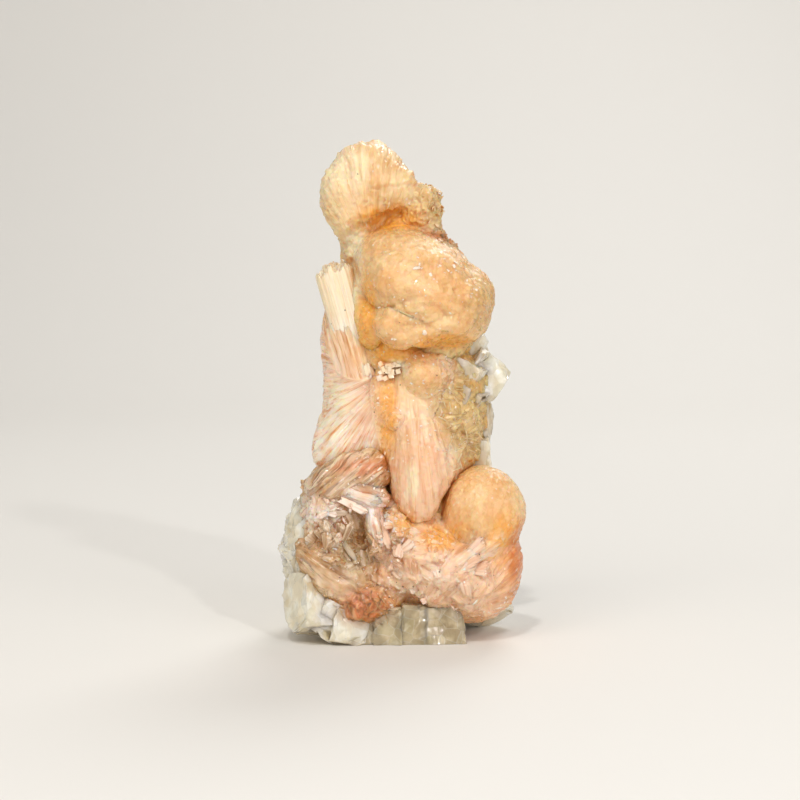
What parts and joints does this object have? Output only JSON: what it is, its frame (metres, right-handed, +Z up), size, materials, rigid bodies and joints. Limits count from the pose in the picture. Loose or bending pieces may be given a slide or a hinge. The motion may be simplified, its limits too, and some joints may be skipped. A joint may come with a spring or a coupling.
{
  "type": "stilbite and apophyllite crystal cluster",
  "caption": "Free-standing mineral specimen: stilbite fans, balls and a hanging sheaf grown together with blocky apophyllite, on a flat foot.",
  "frame": {"origin": "centre of the footprint box on the surface that the cluster stands on", "axes": "+Z up, along the height; +X to the right and +Y to the back, seen from the side with the balls and fans"},
  "size_m": [0.0494, 0.041, 0.0995],
  "materials": {
    "stilbite": "satin",
    "apophyllite": "gloss"
  },
  "bodies": {
    "root": {"crystal_cluster": "stilbite"}
  },
  "joints": []
}
